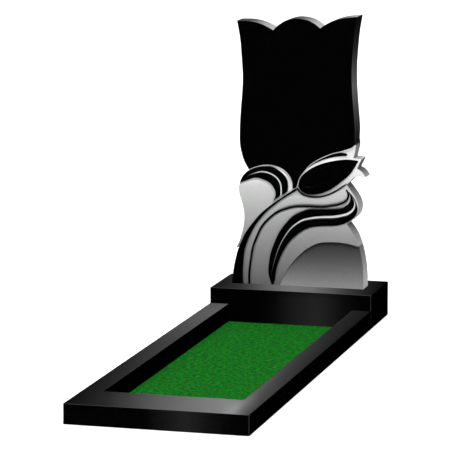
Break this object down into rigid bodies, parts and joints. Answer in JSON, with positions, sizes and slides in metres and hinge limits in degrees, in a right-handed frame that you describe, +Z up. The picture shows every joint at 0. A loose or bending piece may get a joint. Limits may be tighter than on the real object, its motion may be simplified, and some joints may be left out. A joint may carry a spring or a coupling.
{
  "type": "upright headstone with plinth and kerb set",
  "caption": "Upright granite grave slab cut and carved as a tulip, standing on a block plinth, with a low kerb round a turf bed in front.",
  "frame": {"origin": "on the ground, under the middle of the whole footprint", "axes": "+Z up, -Y the side that the carved face looks towards, +Y along the grave from the kerb's front to the plinth, +X to the right seen from the front"},
  "size_m": [0.73, 2.4, 1.3583],
  "materials": {
    "carved_granite": "black granite, polished faces with finely ground pale carving",
    "polished_granite": "black granite, polished",
    "turf": "short dense turf"
  },
  "bodies": {
    "root": {"headstone": "carved_granite", "plinth": "polished_granite", "kerb_front": "polished_granite", "kerb_left": "polished_granite", "kerb_right": "polished_granite", "turf_bed": "turf"}
  },
  "joints": []
}
